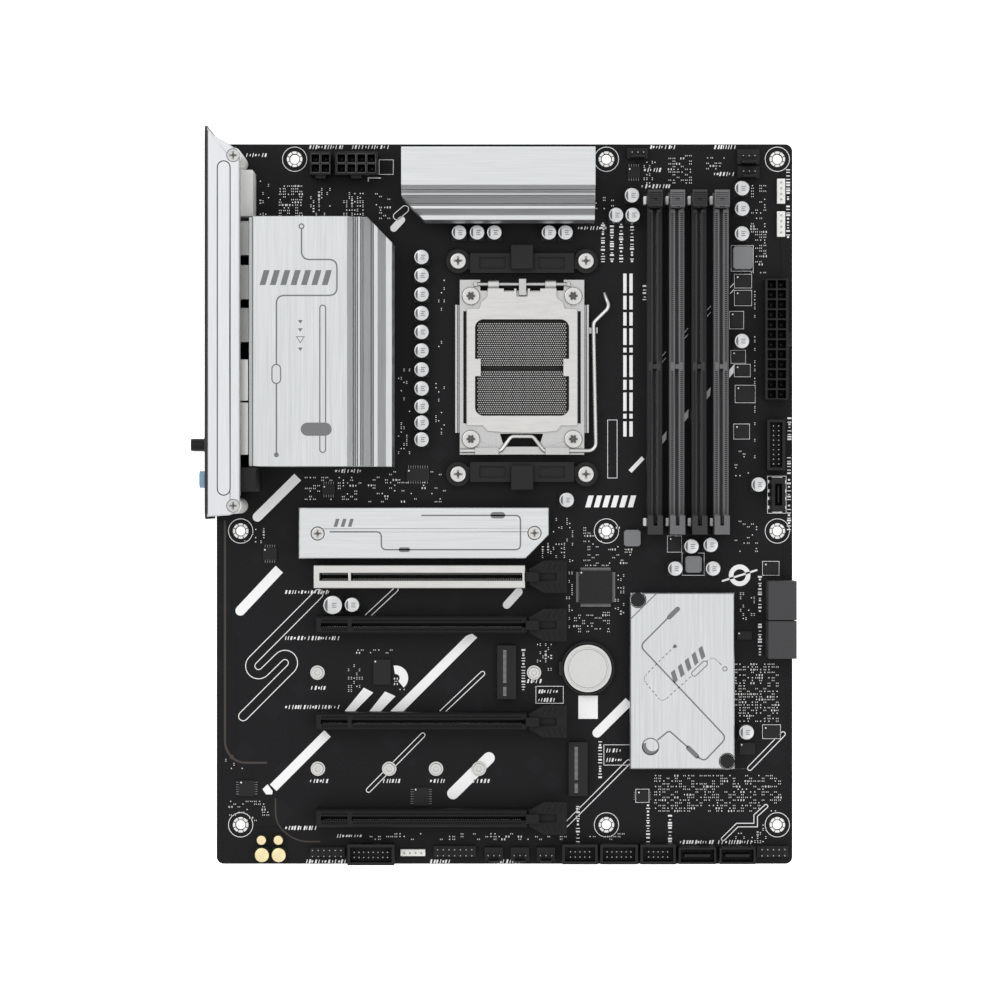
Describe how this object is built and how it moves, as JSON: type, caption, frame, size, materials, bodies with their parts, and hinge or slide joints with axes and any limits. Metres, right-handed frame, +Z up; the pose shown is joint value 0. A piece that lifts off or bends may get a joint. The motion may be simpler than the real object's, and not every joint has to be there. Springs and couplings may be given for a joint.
{
  "type": "computer motherboard",
  "caption": "Full-size desktop computer motherboard with a processor socket, memory and expansion slots, silver heatsinks and rear ports.",
  "frame": {"origin": "middle of the bounding box, at its lowest level: the back plate's underside, 3.81 mm under the component side", "axes": "+X from the rear ports towards the front edge, +Y towards the edge with the top heatsink, +Z up out of the component side"},
  "size_m": [0.2534, 0.3086, 0.0444],
  "materials": {
    "board_laminate": "matte black solder mask over glass-epoxy laminate",
    "black_plastic": "moulded black nylon",
    "grey_plastic": "moulded grey nylon",
    "silver_heatsink": "brushed, anodised silver",
    "steel": "nickel-plated pressed steel",
    "black_steel": "black-painted steel",
    "silver_cover": "satin silver paint",
    "screw_steel": "bright nickel plate",
    "gold_brass": "gold-plated brass",
    "contact_gold": "fine gold-plated spring contacts",
    "chip_epoxy": "moulded epoxy package",
    "choke_ferrite": "pressed ferrite block",
    "thermal_pad": "soft grey thermal pad",
    "can_aluminium": "bare can with a vent mark",
    "gold_can": "gold-coloured can",
    "cell_steel": "stainless cell case",
    "white_plastic": "moulded white plastic",
    "port_steel": "tinned steel port shells"
  },
  "bodies": {
    "board": {"antenna_jacks": "black_plastic", "audio_capacitors": "gold_can", "audio_jacks": "black_plastic", "backplate": "black_steel", "battery_holder": "black_plastic", "capacitors": "can_aluminium", "chips": "chip_epoxy", "chipset": "chip_epoxy", "chipset_heatsink": "silver_heatsink", "chipset_push_pins": "black_plastic", "cooler_bracket_lower": "black_plastic", "cooler_bracket_upper": "black_plastic", "cooler_screws": "screw_steel", "dimm_slot_1": "black_plastic", "dimm_slot_2": "grey_plastic", "dimm_slot_3": "black_plastic", "dimm_slot_4": "grey_plastic", "flash_switch": "black_plastic", "headers": "black_plastic", "heatsink_screws": "screw_steel", "io_cover": "silver_cover", "io_cover_posts": "white_plastic", "io_cover_screws": "screw_steel", "io_shield": "black_steel", "m2_heatsink": "silver_heatsink", "m2_screws": "screw_steel", "m2_sockets": "black_plastic", "m2_standoffs": "gold_brass", "network_port": "port_steel", "pcb": "board_laminate", "pcie_slot_1": "black_plastic", "pcie_slot_2": "black_plastic", "pcie_slot_3": "black_plastic", "pcie_slot_4": "black_plastic", "pcie_slot_armour": "steel", "power_chokes": "choke_ferrite", "power_connectors": "black_plastic", "rear_heatsink": "silver_heatsink", "sata_ports": "black_plastic", "socket_contacts": "contact_gold", "socket_frame": "steel", "socket_housing": "black_plastic", "socket_screws": "screw_steel", "thermal_pads": "thermal_pad", "top_heatsink": "silver_heatsink", "usb_ports": "port_steel", "video_ports": "port_steel", "wifi_module": "black_plastic"},
    "coin_cell_body": {"coin_cell": "cell_steel"},
    "dimm_latch_1_body": {"dimm_latch_1": "black_plastic"},
    "dimm_latch_2_body": {"dimm_latch_2": "grey_plastic"},
    "dimm_latch_3_body": {"dimm_latch_3": "black_plastic"},
    "dimm_latch_4_body": {"dimm_latch_4": "grey_plastic"},
    "flash_button_body": {"flash_button": "black_plastic"},
    "load_lever_body": {"load_lever": "steel"},
    "load_plate_body": {"load_plate": "steel"},
    "pcie_latch_1_body": {"pcie_latch_1": "black_plastic"},
    "pcie_latch_2_body": {"pcie_latch_2": "black_plastic"},
    "pcie_latch_3_body": {"pcie_latch_3": "black_plastic"},
    "pcie_latch_4_body": {"pcie_latch_4": "black_plastic"}
  },
  "joints": [
    {"name": "load_lever_hinge", "type": "hinge", "parent": "board", "child": "load_lever_body", "pos_m": [0.0116, 0.0206, 0.00931], "axis": [1, 0, 0], "range_deg": [0, 120]},
    {"name": "load_plate_hinge", "type": "hinge", "parent": "board", "child": "load_plate_body", "pos_m": [0.0116, 0.0909, 0.00926], "axis": [-1, 0, 0], "range_deg": [0, 110]},
    {"name": "dimm_latch_1_hinge", "type": "hinge", "parent": "board", "child": "dimm_latch_1_body", "pos_m": [0.0674, 0.1246, 0.00731], "axis": [-1, 0, 0], "range_deg": [0, 30]},
    {"name": "dimm_latch_2_hinge", "type": "hinge", "parent": "board", "child": "dimm_latch_2_body", "pos_m": [0.07673, 0.1246, 0.00731], "axis": [-1, 0, 0], "range_deg": [0, 30]},
    {"name": "dimm_latch_3_hinge", "type": "hinge", "parent": "board", "child": "dimm_latch_3_body", "pos_m": [0.08606, 0.1246, 0.00731], "axis": [-1, 0, 0], "range_deg": [0, 30]},
    {"name": "dimm_latch_4_hinge", "type": "hinge", "parent": "board", "child": "dimm_latch_4_body", "pos_m": [0.09539, 0.1246, 0.00731], "axis": [-1, 0, 0], "range_deg": [0, 30]},
    {"name": "pcie_latch_1_hinge", "type": "hinge", "parent": "board", "child": "pcie_latch_1_body", "pos_m": [0.0167, -0.0325, 0.00681], "axis": [0, 1, 0], "range_deg": [0, 20]},
    {"name": "pcie_latch_2_hinge", "type": "hinge", "parent": "board", "child": "pcie_latch_2_body", "pos_m": [0.0167, -0.05282, 0.00681], "axis": [0, 1, 0], "range_deg": [0, 20]},
    {"name": "pcie_latch_3_hinge", "type": "hinge", "parent": "board", "child": "pcie_latch_3_body", "pos_m": [0.0167, -0.09346, 0.00681], "axis": [0, 1, 0], "range_deg": [0, 20]},
    {"name": "pcie_latch_4_hinge", "type": "hinge", "parent": "board", "child": "pcie_latch_4_body", "pos_m": [0.0167, -0.1341, 0.00681], "axis": [0, 1, 0], "range_deg": [0, 20]},
    {"name": "flash_button_slide", "type": "slide", "parent": "board", "child": "flash_button_body", "axis": [1, 0, 0], "range_m": [0, 0.0004], "stiffness_N_per_m": 300, "springref_m": -0.001},
    {"name": "coin_cell_slide", "type": "slide", "parent": "board", "child": "coin_cell_body", "axis": [0, 0, 1], "range_m": [0, 0.006]}
  ]
}
